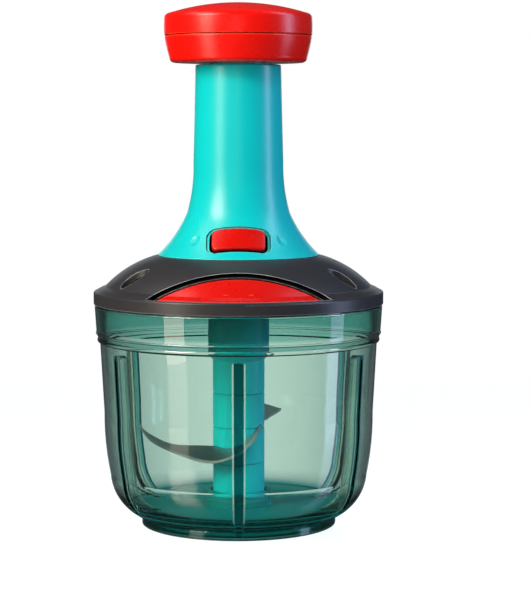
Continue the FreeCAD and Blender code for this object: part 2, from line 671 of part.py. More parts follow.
def make_drive_coupling():
    """The drum of the clutch, its journal and the hexagon that turns the blade unit."""
    head_top = HEAD_TOP_Z - MOUTH_Z
    journal_foot = head_top + 0.6
    hexagon_foot = head_top - SOCKET_DEPTH + 1.6
    drum = ring(0, DRUM_RADIUS, DRUM_Z, DRUM_Z + DRUM_HEIGHT)
    hollow = ring(0, DRUM_RADIUS - DRUM_WALL, DRUM_Z + DRUM_FLOOR - 0.1, DRUM_Z + DRUM_HEIGHT + 1)
    journal = ring(0, JOURNAL_RADIUS, journal_foot, DRUM_Z)
    hexagon = prism(6, SPIGOT_WIDTH, hexagon_foot, journal_foot)
    nose_top = hexagon_foot + 2.0
    nose = turned((0, nose_top - 4.2), (5.2, nose_top - 4.2), (9.4, nose_top), (9.4, 0), (0, 0))
    return drum.cut(hollow).fuse([journal, hexagon.common(nose)]).removeSplitter()


def make_clutch_cover():
    z, wide, bore = DRUM_Z + DRUM_HEIGHT, DRUM_RADIUS, ROD_COLLAR + 0.6
    return turned((bore, z), (wide, z), (wide, z + 0.7), (wide - 0.5, z + 1.2), (bore, z + 1.2))


def make_drive_bush():
    """A plain bush pressed into the inner cover; its flange takes the push of the plunger."""
    bore, low, flange = JOURNAL_RADIUS + RUNNING, COVER_Z - 0.2, DRUM_Z - 0.6
    return turned((bore, low), (BUSH_RADIUS, low), (BUSH_RADIUS, 0), (16.0, 0), (16.0, flange), (bore, flange))


def make_thrust_washer():
    return ring(JOURNAL_RADIUS + 0.4, 15.6, DRUM_Z - 0.6, DRUM_Z)


def make_spring_seat():
    """A pressed cup that hangs from the lid's neck over the clutch and carries the return spring."""
    low, high, sheet = SEAT_Z, LEDGE_Z - WALL, 0.8
    return turned(
        (8.0, low), (17.6, low), (17.6, high - sheet), (24.0, high - sheet), (24.0, high), (17.6 - sheet, high),
        (17.6 - sheet, low + sheet), (8.0, low + sheet),
    )


def make_return_spring():
    """A coil round the strip, from the lid's spring seat to the piston; shown pressed short."""
    low, high = SEAT_Z + 1.6, PISTON_Z - 0.6
    coil_radius, wire, coils = 14.6, 1.6, 5
    height = high - low - wire
    path = Part.makeHelix(height / coils, height, coil_radius)
    path.translate(Vector(0, 0, low + wire / 2))
    points = []
    for i in range(7):
        angle = math.radians(30 + 60 * i)
        across, up = math.cos(angle), math.sin(angle)
        points.append(Vector(coil_radius + wire / 2 * across, 0, low + wire / 2 * (1 + up)))
    return along(Part.Wire(path.Edges), Part.makePolygon(points))


# ---- lock button: a rocker on a pin, behind a window in the tower's skirt ----

def make_lock_button():
    cap = skirt_panel(BUTTON_WIDTH, BUTTON_HEIGHT, BUTTON_CORNER).common(tower_body(1.3))
    front = [edge for edge in cap.Edges if on_face(edge, tower_body(1.3))]
    cap = cap.makeFillet(1.0, front).cut(tower_body(-2.0))
    side_view = [
        (-34.0, 27.0), (-26.0, 27.6), (-22.9, 35.0), (-20.4, 38.0), (-20.4, 40.4), (-19.2, 41.2),
        (-19.2, 43.6), (-20.7, 43.6), (-22.4, 40.4), (-23.9, 37.6), (-24.9, 33.9), (-30.0, 31.9),
    ]
    half = 4.6
    points = [Vector(-half, y, z) for y, z in side_view + side_view[:1]]
    arm = Part.Face(Part.makePolygon(points)).extrude(Vector(2 * half, 0, 0)).common(tower_body(-1.2))
    knuckle = along_x(2.1, half, PIVOT)
    return cap.fuse([arm, knuckle]).cut(along_x(LOCK_PIN_RADIUS + RUNNING, 7, PIVOT)).removeSplitter()


def on_face(edge, body):
    """Whether an edge lies on a body's surface."""
    points = edge.discretize(5)
    return all(body.Shells[0].distToShape(Part.Vertex(point))[0] < 0.01 for point in points)


def make_lock_pin():
    return along_x(LOCK_PIN_RADIUS, 10.8, PIVOT)


def bow_strip(first, middle, last, thickness, direction):
    """A bowed leaf spring: an arc of strip run along a direction."""
    inner = Part.Arc(first, middle, last).toShape()
    centre = inner.Curve.Center
    growth = 1 + thickness / inner.Curve.Radius
    outer = [centre + (point - centre) * growth for point in (last, middle, first)]
    edges = [
        inner, Part.LineSegment(last, outer[0]).toShape(), Part.Arc(*outer).toShape(),
        Part.LineSegment(outer[2], first).toShape(),
    ]
    return Part.Face(Part.Wire(edges)).extrude(direction)


def make_lock_spring():
    y, middle, half = -NECK_BORE - 2.3, BUTTON_PLACE.z - 2.8, 4.2
    ends = [Vector(-3, y, middle - half), Vector(-3, y, middle + half)]
    return bow_strip(ends[0], Vector(-3, y - 3.7, middle), ends[1], 0.4, Vector(6, 0, 0))


# ---- stop button: the red lens in the arch, with a brake pad on its arm ----

def make_stop_button():
    face = lid_side(0.5)
    back = lid_side(0.5 + 2.2)
    lens = turned(
        (69.9, LENS_FOOT_Z), (68.9, 3.6), face[2], [face[3], face[4]], back[4], [back[3], back[2]],
        (67.2, LENS_FOOT_Z),
    ).common(arch_panel(LENS_HALF_WIDTH, LENS_FOOT_Z, LENS_TOP_Z, -LID_RADIUS, -30))
    low, high = 3.8, 6.2
    arm = box(-7, 7, -65.0, -24.4, low, high)
    tab = box(-5, 5, -57.5, -55.2, COVER_Z + 3.6, low + 0.6)
    stops = box(-9.4, 9.4, -39.8, -37.6, low, high)
    plate = box(-7, 7, -26.2, -24.4, 1.8, 7.0)
    return lens.fuse([arm, tab, stops, plate]).removeSplitter()


def make_brake_pad():
    return box(-6.4, 6.4, -24.4, -21.8, 2.0, 6.8)


def make_stop_spring():
    z, y, half = COVER_Z + 3.8, -50.6, 25
    return bow_strip(Vector(-half, y, z), Vector(0, y - 4, z), Vector(half, y, z), 0.5, Vector(0, 0, 4.2))


def make_screws(radius, length, ring_radius, angles, z):
    return Part.makeCompound([screw(radius, SCREW_HEAD, length, at(ring_radius, a, z)) for a in angles])


def make_lid_and_drive():
    """All that the lid carries, in heights above the mouth of the bowl."""
    return {
        "lid_shell": make_lid_shell(),
        "lid_base": make_lid_base(),
        "lid_seal": make_lid_seal(),
        "tower": make_tower(),
        "tower_collar": make_tower_collar(),
        "drive_bush": make_drive_bush(),
        "spring_seat": make_spring_seat(),
        "knob_cap": make_knob_cap(),
        "knob_base": make_knob_base(),
        "plunger_tube": make_plunger_tube(),
        "drive_nut": make_drive_nut(),
        "drive_rod": make_drive_rod(),
        "clutch_hub": make_clutch_hub(),
        "clutch_rollers": make_clutch_rollers(),
        "clutch_cover": make_clutch_cover(),
        "drive_coupling": make_drive_coupling(),
        "thrust_washer": make_thrust_washer(),
        "return_spring": make_return_spring(),
        "lock_button": make_lock_button(),
        "lock_pin": make_lock_pin(),
        "lock_spring": make_lock_spring(),
        "stop_button": make_stop_button(),
        "brake_pad": make_brake_pad(),
        "stop_spring": make_stop_spring(),
        "lid_screws": make_screws(1.5, 9.0, LID_SCREW_RADIUS, LID_SCREW_ANGLES, COVER_Z),
        "tower_screws": make_screws(SCREW_RADIUS, 9.4, TOWER_SCREW_RADIUS, TOWER_SCREW_ANGLES,
                                    LEDGE_Z - WALL - 1.8),
        "knob_screws": make_screws(SCREW_RADIUS, 9.0, KNOB_SCREW_RADIUS, KNOB_SCREW_ANGLES,
                                   KNOB_BOTTOM_Z + 0.4),
    }


def main():
    os.makedirs("parts", exist_ok=True)
    nodes = {"bowl": make_bowl(), "base_ring": make_base_ring(), "pivot_pin": make_pivot_pin()}
    nodes.update(make_blade_unit())
    for name, shape in make_lid_and_drive().items():
        nodes[name] = shape.translated(Vector(0, 0, MOUTH_Z))
    for name, shape in nodes.items():
        shape.exportStep("parts/" + name + ".step")


main()
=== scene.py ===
import math

import bmesh
import bpy
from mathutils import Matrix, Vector


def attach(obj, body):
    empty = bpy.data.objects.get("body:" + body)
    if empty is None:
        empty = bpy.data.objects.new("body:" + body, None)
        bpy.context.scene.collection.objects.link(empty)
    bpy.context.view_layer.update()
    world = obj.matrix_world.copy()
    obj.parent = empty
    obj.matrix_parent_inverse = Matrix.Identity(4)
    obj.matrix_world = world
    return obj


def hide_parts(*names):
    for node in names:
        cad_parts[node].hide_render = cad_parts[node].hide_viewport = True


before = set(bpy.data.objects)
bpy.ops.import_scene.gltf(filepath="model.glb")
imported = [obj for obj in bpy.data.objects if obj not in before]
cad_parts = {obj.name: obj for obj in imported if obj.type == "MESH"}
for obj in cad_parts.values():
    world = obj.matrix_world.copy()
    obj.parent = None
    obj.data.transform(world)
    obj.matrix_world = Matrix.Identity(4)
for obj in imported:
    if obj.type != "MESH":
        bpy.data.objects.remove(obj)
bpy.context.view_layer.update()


# ---- Bowl ----
# A clear cup in copolyester, tinted green-blue and moulded in one piece with its collar, beads,
# ribs and pivot cup. The tool is polished, so the walls stay bright. The tint gathers in the foot
# and the ribs; the collar's deeper tint is painted shade of the lid above it. The top of the floor
# and the pivot cup are finely frosted.
def linear(colour):
    """An sRGB hex colour as the linear RGBA that a shader takes."""
    channels = [int(colour[i : i + 2], 16) / 255 for i in (1, 3, 5)]
    curved = [c / 12.92 if c <= 0.04045 else ((c + 0.055) / 1.055) ** 2.4 for c in channels]
    return (*curved, 1.0)


def feed(tree, node, inputs):
    """Gives the inputs of a node, by name or in order, their values or other nodes' outputs."""
    for key, value in inputs.items() if isinstance(inputs, dict) else enumerate(inputs):
        if isinstance(value, bpy.types.NodeSocket):
            tree.links.new(value, node.inputs[key])
        else:
            node.inputs[key].default_value = value


def add(tree, kind, settings=None, inputs=()):
    """Adds one node to a tree with its settings and its inputs, and gives its outputs."""
    node = tree.nodes.new(kind)
    for key, value in (settings or {}).items():
        setattr(node, key, value)
    feed(tree, node, inputs)
    return node.outputs


def new_material(name):
    """An empty material with its tree and its shader, and where each point of its piece is."""
    material = bpy.data.materials.new(name)
    material.use_nodes = True
    tree = material.node_tree
    return material, tree, tree.nodes["Principled BSDF"], add(tree, "ShaderNodeTexCoord")["Object"]


def put_on(material, *names):
    """Gives a material to CAD nodes that keep their own shape."""
    for name in names:
        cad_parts[name].material_slots[0].material = material


smooth = {"interpolation_type": "SMOOTHSTEP"}
of_colours = {"data_type": "RGBA"}


def clear_plastic(name, face, edge, passed, density, roughness, ripple):
    """A see-through moulding. Face and edge tint it by the angle that it is seen at, and what it
    passes tints it by its depth. Its skin waves by ripple mm. Lamps shine straight through it, so
    it throws a pale shadow and no bright patches."""
    wave_length, edge_width, shadow = 14.0, 0.36, "#F7FCFB"
    material, tree, shader, place = new_material(name)
    angle = add(tree, "ShaderNodeLayerWeight", None, {"Blend": edge_width})["Facing"]
    tint = add(tree, "ShaderNodeMix", of_colours, {0: angle, 6: linear(face), 7: linear(edge)})[2]
    wave = add(
        tree, "ShaderNodeTexNoise", None, {"Vector": place, "Scale": 1000 / wave_length, "Detail": 1.0}
    )[0]
    skin = add(tree, "ShaderNodeBump", None, {"Height": wave, "Distance": ripple / 1000})[0]
    feed(tree, shader, {"Base Color": tint, "Normal": skin, "Roughness": roughness})
    feed(tree, shader, {"IOR": 1.54, "Transmission Weight": 1.0})
    inside = add(
        tree, "ShaderNodeVolumeAbsorption", None, {"Color": linear(passed), "Density": density}
    )[0]
    to_lamp = add(tree, "ShaderNodeLightPath")["Is Shadow Ray"]
    open_way = add(tree, "ShaderNodeBsdfTransparent", None, {"Color": linear(shadow)})[0]
    surface = add(tree, "ShaderNodeMixShader", None, (to_lamp, shader.outputs[0], open_way))[0]
    feed(tree, tree.nodes["Material Output"], {"Surface": surface, "Volume": inside})
    return material, tree, shader, place, tint


bowl_plastic, tree, shader, place, tint = clear_plastic(
    "moulded_copolyester_clear_tinted", "#E2F2EA", "#02565C", "#B3E7DD",
    density=60.0, roughness=0.015, ripple=0.004,
)
put_on(bowl_plastic, "bowl")

# The thick foot is tinted by its heights in metres, between which the tint fades. The collar is darkened
# the same way, with painted shade of the lid above it.
foot_fade = (0.0088, 0.0125)
collar_fade, collar_shade_share = (0.0976, 0.1000), 0.85
x, y, z = add(tree, "ShaderNodeSeparateXYZ", None, (place,))
foot = add(tree, "ShaderNodeMapRange", smooth, (z, *foot_fade, 1.0, 0.0))[0]
collar = add(tree, "ShaderNodeMapRange", smooth, (z, *collar_fade, 0.0, collar_shade_share))[0]

# The top of the floor and the pivot cup are frosted.
floor_top, floor_play = 0.0084, 0.0005
cup_radius, cup_top = 0.0178, 0.018
floor = add(tree, "ShaderNodeMath", {"operation": "COMPARE"}, (z, floor_top, floor_play))[0]
x_square = add(tree, "ShaderNodeMath", {"operation": "MULTIPLY"}, (x, x))[0]
radius_square = add(tree, "ShaderNodeMath", {"operation": "MULTIPLY_ADD"}, (y, y, x_square))[0]
in_cup = add(tree, "ShaderNodeMath", {"operation": "LESS_THAN"}, (radius_square, cup_radius**2))[0]
under_cup_top = add(tree, "ShaderNodeMath", {"operation": "LESS_THAN"}, (z, cup_top))[0]
cup = add(tree, "ShaderNodeMath", {"operation": "MULTIPLY"}, (in_cup, under_cup_top))[0]
frosted = add(tree, "ShaderNodeMath", {"operation": "MAXIMUM"}, (floor, cup))[0]

# The ribs stand at equal turns from the front. Their half widths, each with its fade, are in
# radians: a deep-tinted core, and the whole rib, whose lips beside the core let less light through
# so that they show pale, a painted highlight of the rib's rounded edges.
rib_count, rib_top = 6, 0.0886
core_fade, rib_fade = (0.033, 0.037), (0.045, 0.050)
half_gap = math.pi / rib_count
front = add(tree, "ShaderNodeMath", {"operation": "MULTIPLY"}, (y, -1.0))[0]
angle = add(tree, "ShaderNodeMath", {"operation": "ARCTAN2"}, (x, front))[0]
turn = add(tree, "ShaderNodeMath", {"operation": "WRAP"}, (angle, half_gap, -half_gap))[0]
off_rib = add(tree, "ShaderNodeMath", {"operation": "ABSOLUTE"}, (turn,))[0]
under_rib_top = add(tree, "ShaderNodeMath", {"operation": "LESS_THAN"}, (z, rib_top))[0]
core_width = add(tree, "ShaderNodeMapRange", smooth, (off_rib, *core_fade, 1.0, 0.0))[0]
core = add(tree, "ShaderNodeMath", {"operation": "MULTIPLY"}, (core_width, under_rib_top))[0]
rib_width = add(tree, "ShaderNodeMapRange", smooth, (off_rib, *rib_fade, 1.0, 0.0))[0]
rib = add(tree, "ShaderNodeMath", {"operation": "MULTIPLY"}, (rib_width, under_rib_top))[0]
lip = add(tree, "ShaderNodeMath", {"operation": "SUBTRACT"}, (rib, core))[0]

# The collar's colour here is painted shade of the lid; the foot, core and frost are the plastic's own
# tint.
zones = ((foot, "#3FAFAC"), (core, "#2E8488"), (collar, "#86C0B8"), (frosted, "#0C8C8A"))
for share, colour in zones:
    tint = add(tree, "ShaderNodeMix", of_colours, {0: share, 6: tint, 7: linear(colour)})[2]

# Frosting adds roughness, takes gloss away and lets less light through; a lip only does the last, which
# paints its highlight.
polish, frost_rough = 0.015, 0.35
gloss, frost_gloss = 0.5, -0.4
frost_fill, lip_highlight_share = 0.7, 0.22
rough = add(tree, "ShaderNodeMath", {"operation": "MULTIPLY_ADD"}, (frosted, frost_rough, polish))[0]
shine = add(tree, "ShaderNodeMath", {"operation": "MULTIPLY_ADD"}, (frosted, frost_gloss, gloss))[0]
painted_lip_highlight = add(tree, "ShaderNodeMath", {"operation": "MULTIPLY"}, (lip, lip_highlight_share))[0]
filled = add(tree, "ShaderNodeMath", {"operation": "MULTIPLY_ADD"}, (frosted, frost_fill, painted_lip_highlight))[0]
clear = add(tree, "ShaderNodeMath", {"operation": "SUBTRACT"}, (1.0, filled))[0]
feed(tree, shader, {"Base Color": tint, "Roughness": rough})
feed(tree, shader, {"Specular IOR Level": shine, "Transmission Weight": clear})


# ---- Foot ring ----
# The non-slip ring under the bowl: translucent silicone in the bowl's own colour, pressed over
# the foot. It is softer and duller than the bowl, so light blurs in it and it looks deeper.
foot_silicone = clear_plastic(
    "moulded_silicone_translucent_teal", "#5FB9B4", "#065A5E", "#95D4CE",
    density=160.0, roughness=0.12, ripple=0.01,
)[0]
put_on(foot_silicone, "base_ring")


# ---- Blade unit: hub, sleeves and head ----
# Moulded sleeves stacked on a square steel core, in the colour of the tower. They are acetal
# from a polished tool, with the faint flow marks and the soft gloss that acetal keeps.
def dimmed(colour, share):
    """A hex colour as linear RGBA, with its light cut to a share."""
    return (*(share * channel for channel in linear(colour)[:3]), 1.0)


def moulded(
    name, colour, shade, roughness, peel, depth, ior=1.54, gloss=0.5, ease=0.5, nook=1.6, edge_highlight=None
):
    """A moulded plastic: pigment that flows between two shades, and a skin dimpled by its tool.
    The dimples are peel mm wide, where real ones of a tenth of that wouldn't show, and depth mm
    deep. Edges are eased by ease mm and painted paler, a painted highlight, and gaps of up to nook mm
    take painted shade, a dimmed copy of the shade colour mixed in by ambient occlusion."""
    flow_size, touch_size, unevenness = 18.0, 7.0, 0.04
    edge_start, edge_full = 0.98, 0.86
    nook_dark, nook_lit, nook_share = 0.25, 0.8, 0.2
    material, tree, shader, place = new_material(name)
    flow, touch, skin = (
        add(tree, "ShaderNodeTexNoise", None, {"Vector": place, "Scale": 1000 / size, "Detail": fine})[0]
        for size, fine in ((flow_size, 3.0), (touch_size, 4.0), (peel, 2.0))
    )
    tint = add(tree, "ShaderNodeMix", of_colours, {0: flow, 6: linear(colour), 7: linear(shade)})[2]
    rough = add(
        tree,
        "ShaderNodeMapRange",
        None,
        (touch, 0.0, 1.0, roughness - unevenness, roughness + unevenness),
    )[0]
    eased = add(tree, "ShaderNodeBevel", {"samples": 4}, {"Radius": ease / 1000})[0]
    bump = add(
        tree, "ShaderNodeBump", None, {"Height": skin, "Distance": depth / 1000, "Normal": eased}
    )[0]

    # Painted highlight: where the eased normal turns from the true one, at edges, the colour goes
    # towards the paler edge colour.
    facing = add(tree, "ShaderNodeNewGeometry")["Normal"]
    bend = add(tree, "ShaderNodeVectorMath", {"operation": "DOT_PRODUCT"}, (facing, eased))["Value"]
    edge = add(tree, "ShaderNodeMapRange", smooth, (bend, edge_start, edge_full, 0.0, 1.0))[0]
    edge_highlit = add(tree, "ShaderNodeMix", of_colours, {0: edge, 6: tint, 7: linear(edge_highlight or colour)})[2]
    # Painted shade: where ambient occlusion meets surfaces within nook mm, the colour goes towards a
    # dimmed copy of the shade colour.
    reached = add(tree, "ShaderNodeAmbientOcclusion", {"samples": 12}, {"Distance": nook / 1000})["AO"]
    lit = add(tree, "ShaderNodeMapRange", smooth, (reached, nook_dark, nook_lit, 0.0, 1.0))[0]
    painted_shade = dimmed(shade, nook_share)
    highlit_and_shaded = add(tree, "ShaderNodeMix", of_colours, {0: lit, 6: painted_shade, 7: edge_highlit})[2]
    feed(tree, shader, {"Base Color": highlit_and_shaded, "Roughness": rough, "Normal": bump})
    feed(tree, shader, {"IOR": ior, "Specular IOR Level": gloss})
    return material


hub_plastic = moulded(
    "moulded_acetal_teal", "#00CCD0", "#00C4C8",
    roughness=0.3, peel=1.6, depth=0.003, ior=1.48, gloss=0.25, ease=0.1,
)
put_on(hub_plastic, "blade_hub", "middle_sleeve", "upper_sleeve", "blade_head")


# ---- Blades, core, pin and bush ----
# Two scimitar blades of 1.2 mm stainless sheet, ground on both faces to a fine edge: the grinding
# leaves lines across the blade and a land along its edge, drawn in a paler steel as a painted
# highlight. The core and the pin are turned bar, and the bush on the pin is sintered bronze, whose
# pores hold oil.
def metal(name, colour, roughness, grain, depth, stretch=(1.0, 1.0, 1.0)):
    """A metal with the marks of its making, grain mm wide and drawn out along the axes whose
    stretch is small. Real marks are some hundredths of a millimetre wide, too fine to show, so
    they are drawn about ten times as coarse."""
    dark_share, smoothest, roughest = 0.86, 0.7, 1.3
    material, tree, shader, place = new_material(name)
    drawn = add(tree, "ShaderNodeMapping", None, {"Vector": place, "Scale": stretch})[0]
    marks = add(
        tree, "ShaderNodeTexNoise", None, {"Vector": drawn, "Scale": 1000 / grain, "Detail": 3.0}
    )[0]
    tint = add(
        tree, "ShaderNodeMix", of_colours, {0: marks, 6: linear(colour), 7: dimmed(colour, dark_share)}
    )[2]
    rough = add(
        tree,
        "ShaderNodeMapRange",
        None,
        (marks, 0.0, 1.0, roughness * smoothest, roughness * roughest),
    )[0]
    bump = add(tree, "ShaderNodeBump", None, {"Height": marks, "Distance": depth / 1000})[0]
    feed(tree, shader, {"Metallic": 1.0, "Base Color": tint, "Roughness": rough, "Normal": bump})
    return material


blade_steel = metal(
    "ground_stainless_sheet", "#B4C6C8", roughness=0.36, grain=0.6, depth=0.002, stretch=(0.25, 1.0, 1.0)
)
# A paler copy of the blade steel: a painted highlight along the edge.
highlight_edge_steel = metal("stainless_edge_painted_highlight", "#F4F8F8", roughness=0.42, grain=0.3, depth=0.001)


def at(radius, degrees, height):
    """A point from a radius and a height in mm; 0 degrees is the front and 90 the right side."""
    angle = math.radians(degrees)
    return Vector((radius * math.sin(angle), -radius * math.cos(angle), height)) / 1000


def smooth_run(points, steps):
    """Points on a smooth curve through the given ones."""
    ends = [points[0] * 2 - points[1], *points, points[-1] * 2 - points[-2]]
    run = []
    for a, b, c, d in zip(ends, ends[1:], ends[2:], ends[3:]):
        for i in range(steps):
            t = i / steps
            bend = a * 2 - b * 5 + c * 4 - d
            run.append((b * 2 + (c - a) * t + bend * t**2 + (b * 3 - a - c * 3 + d) * t**3) / 2)
    return run + [points[-1]]


def finished(shape, name, *materials):
    """The mesh of a closed shape, with its faces turned outwards."""
    bmesh.ops.recalc_face_normals(shape, faces=shape.faces)
    mesh = bpy.data.meshes.new(name)
    shape.to_mesh(mesh)
    shape.free()
    for material in materials:
        mesh.materials.append(material)
    return mesh


def own_piece(name, mesh, body, slot, *nodes):
    """An object that rides on a body and stands for the CAD nodes named."""
    piece = bpy.data.objects.new(name, mesh)
    bpy.context.scene.collection.objects.link(piece)
    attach(piece, body)
    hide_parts(*nodes)


def blade(name, edge_points, back_points):
    """A blade between its edge and its back: a flat sheet with a ground land on each face. A land
    takes at most a share of the blade's width, where it narrows to its tip."""
    # The lands and the edge between them take the paler steel, a painted highlight.
    steps, highlight_rows = 8, (1, 2, 3)
    sheet, edge_low, edge_high = 0.0012, 0.5, 0.6
    under_land, under_share = 0.003, 0.45
    over_land, over_share = 0.0015, 0.30
    edges = [at(*point) for point in edge_points]
    backs = [at(*point) for point in back_points]
    rows = []
    for i, (edge, back) in enumerate(zip(edges, backs)):
        chord = edge - back
        run = edges[min(i + 1, len(edges) - 1)] - edges[max(i - 1, 0)]
        up = run.cross(chord).normalized() * sheet
        under = edge - chord * min(under_share, under_land / chord.length)
        over = edge - chord * min(over_share, over_land / chord.length) + up
        rows.append([back, under, edge + up * edge_low, edge + up * edge_high, over, back + up])
    shape = bmesh.new()
    lines = [smooth_run(points, steps) for points in zip(*rows)]
    grid = [[shape.verts.new(point) for point in line] for line in lines]
    for k, line in enumerate(grid):
        after = grid[(k + 1) % len(grid)]
        for i in range(len(line) - 1):
            face = shape.faces.new((line[i], line[i + 1], after[i + 1], after[i]))
            face.smooth = True
            face.material_index = 1 if k in highlight_rows else 0
            shape.edges.get((line[i], line[i + 1])).smooth = False
    for end in (0, -1):
        shape.faces.new([line[end] for line in grid])
    return finished(shape, name, blade_steel, highlight_edge_steel)


# Radius, angle and height of the points along each blade's edge and back, from hub to tip.
lower_edge = [(13.7, 60, 50.4), (15.6, 35, 44.6), (18.4, 5, 37.4), (24.0, -34, 32.6)]
lower_edge += [(32.5, -68, 35.6), (45.0, -92, 40.2), (56.4, -111, 46.8)]
lower_back = [(11.2, 58, 50.0), (11.0, 32, 46.0), (10.8, 0, 40.8), (11.0, -42, 39.0)]
lower_back += [(17.0, -86, 38.0), (36.0, -101, 37.8), (55.3, -112, 43.4)]
upper_edge = [(11.0, 226, 52.0), (14.0, 215, 52.4), (20.0, 206, 52.8), (27.0, 192, 53.2)]
upper_edge += [(36.0, 178, 53.4), (46.0, 168, 53.6), (57.0, 157, 48.9)]
upper_back = [(12.6, 62, 52.2), (14.2, 88, 52.0), (16.5, 112, 51.9), (22.0, 130, 51.6)]
upper_back += [(33.0, 144, 51.0), (46.0, 152, 50.2), (55.5, 156, 49.2)]
for name, edge, back in (("lower", lower_edge, lower_back), ("upper", upper_edge, upper_back)):
    mesh = blade(name, edge, back)
    own_piece(name + "_blade_ground", mesh, "blade_unit", "blade_steel", name + "_blade")
bar_steel = metal(
    "turned_stainless_bar", "#B8BBBE", roughness=0.26, grain=0.4, depth=0.003, stretch=(0.1, 0.1, 1.0)
)
put_on(bar_steel, "core_rod", "pivot_pin", "lock_pin")
bronze = metal("sintered_bronze", "#A98748", roughness=0.42, grain=0.35, depth=0.012)
put_on(bronze, "pivot_bush", "drive_bush")


# ---- Inner cover and seal ----
# The cover that closes the lid from below is polypropylene from a lightly blasted tool, greyer
# than the shell. A soft silicone ring with two lips sits in its groove and plugs the bowl.
cover_plastic = moulded(
    "moulded_pp_grey_matt", "#2C2E30", "#26282A", roughness=0.5, peel=0.9, depth=0.01, ior=1.49
)
put_on(cover_plastic, "lid_base")
seal_silicone = moulded(
    "moulded_silicone_grey", "#8A8F90", "#7E8485", roughness=0.6, peel=1.1, depth=0.01, ior=1.41
)
put_on(seal_silicone, "lid_seal")


# ---- Lid shell ----
# The domed shell is ABS in graphite grey, with an even satin skin from a blasted tool. It dulls
# the reflections of the room to broad soft patches. Its edges carry a painted pale highlight, and
# its recesses and joints within 10 mm carry painted shade.
lid_plastic = moulded(
    "moulded_abs_graphite_satin", "#2B2C2F", "#26272A",
    roughness=0.38, peel=0.7, depth=0.006, gloss=0.4, ease=0.6, nook=10.0, edge_highlight="#A8ACAE",
)
put_on(lid_plastic, "lid_shell")


# ---- Stop button, brake pad and its spring ----
# The lens in the arch is one moulding with the arm behind it, in polished ABS. Its red is a darker
# copy of the knob's red, painted shade of the arch lip over the lens; it also takes painted shade
# within 6 mm and a painted orange highlight on its edges. A rubber pad on the arm's end brakes the
# drum, and a bowed leaf of spring steel holds it off.
shaded_red_plastic = moulded(
    "moulded_abs_red_polished_shaded_copy", "#BE0800", "#B80600",
    roughness=0.28, peel=1.6, depth=0.002, gloss=0.35, nook=6.0, edge_highlight="#FF6A38",
)
put_on(shaded_red_plastic, "stop_button")
pad_rubber = moulded(
    "moulded_nitrile_rubber", "#26282A", "#202224", roughness=0.7, peel=0.8, depth=0.02, ior=1.52
)
put_on(pad_rubber, "brake_pad")
leaf_steel = metal(
    "rolled_spring_steel", "#8E9194", roughness=0.28, grain=0.5, depth=0.002, stretch=(0.2, 1.0, 1.0)
)
put_on(leaf_steel, "stop_spring", "lock_spring")


# ---- Tower and its guide collar ----
# The tower is ABS in a clear teal with a semi-gloss skin, moulded in one piece from its flared
# foot to its mouth. The collar pressed into the mouth is natural acetal, which runs dry. The two
# arcs of the tower's side are shaded as one curve where they meet, above the lock button.
# Its edges carry a painted mint highlight, and gaps within 1.6 mm carry painted shade.
tower_plastic = moulded(
    "moulded_abs_teal_semi_gloss", "#00BABB", "#00B4B6",
    roughness=0.30, peel=2.4, depth=0.001, gloss=0.35, edge_highlight="#8CF2EA",
)
# In a band round the tower the normals turn smoothly from how far they rise from level below it
# to how far they rise above it. Only those of the side take part, and none of the slot's.
band_foot, band_height = 0.1505, 0.0122
rise_below, rise_above = 0.48, 0.20
least_rise, most_rise, least_outward = 0.1, 0.6, 0.75
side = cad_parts["tower"].data.copy()
facing = [Vector(corner.vector) for corner in side.corner_normals]
shape = bmesh.new()
shape.from_mesh(side)
bmesh.ops.remove_doubles(shape, verts=shape.verts, dist=1e-7)
shape.to_mesh(side)
shape.free()
for i, corner in enumerate(side.loops):
    x, y, z = side.vertices[corner.vertex_index].co
    outward = Vector((x, y, 0)).normalized()
    t = (z - band_foot) / band_height
    on_side = least_rise < facing[i].z < most_rise and facing[i].dot(outward) > least_outward
    if 0 < t < 1 and on_side:
        rise = rise_below + (rise_above - rise_below) * t * t * (3 - 2 * t)
        facing[i] = outward * math.sqrt(1 - rise * rise) + Vector((0, 0, rise))
side.normals_split_custom_set(facing)
side.materials.clear()
side.materials.append(tower_plastic)
own_piece("tower_side_blended", side, "lid", "teal_shell", "tower")
white_acetal = moulded(
    "moulded_acetal_natural", "#E6E4DC", "#DEDCD4", roughness=0.35, peel=1.2, depth=0.004, ior=1.48
)
put_on(white_acetal, "tower_collar", "plunger_tube", "drive_nut", "drive_coupling", "clutch_hub")


# ---- Lock button ----
# A rocker in the same darker copy of the knob's red as the lens, with a pillowed face that takes one
# soft highlight and a painted highlight on its edges.
# It rocks on a steel pin inside the tower's skirt.
put_on(shaded_red_plastic, "lock_button")


# ---- Drive: strip, clutch and coupling ----
# The strip is flat stainless bar twisted cold, so its faces keep drawn lines along it. The
# clutch runs three steel rollers in an acetal hub, under a pressed and zinc-plated cover.
strip_steel = metal(
    "twisted_drawn_bar", "#B4B8BA", roughness=0.22, grain=0.4, depth=0.002, stretch=(1.0, 1.0, 0.1)
)
put_on(strip_steel, "drive_rod", "clutch_rollers", "thrust_washer")
zinc_plate = metal("pressed_zinc_plated_sheet", "#A9ADAF", roughness=0.32, grain=2.5, depth=0.004)
put_on(zinc_plate, "clutch_cover", "spring_seat")


# ---- Return spring ----
# A coil of drawn spring wire round the strip, with its end turns closed and laid flat on the
# seat and under the piston. Drawing leaves fine lines along the wire.
wire_steel = metal(
    "drawn_spring_wire", "#8E9194", roughness=0.26, grain=0.3, depth=0.002, stretch=(1.0, 1.0, 0.3)
)


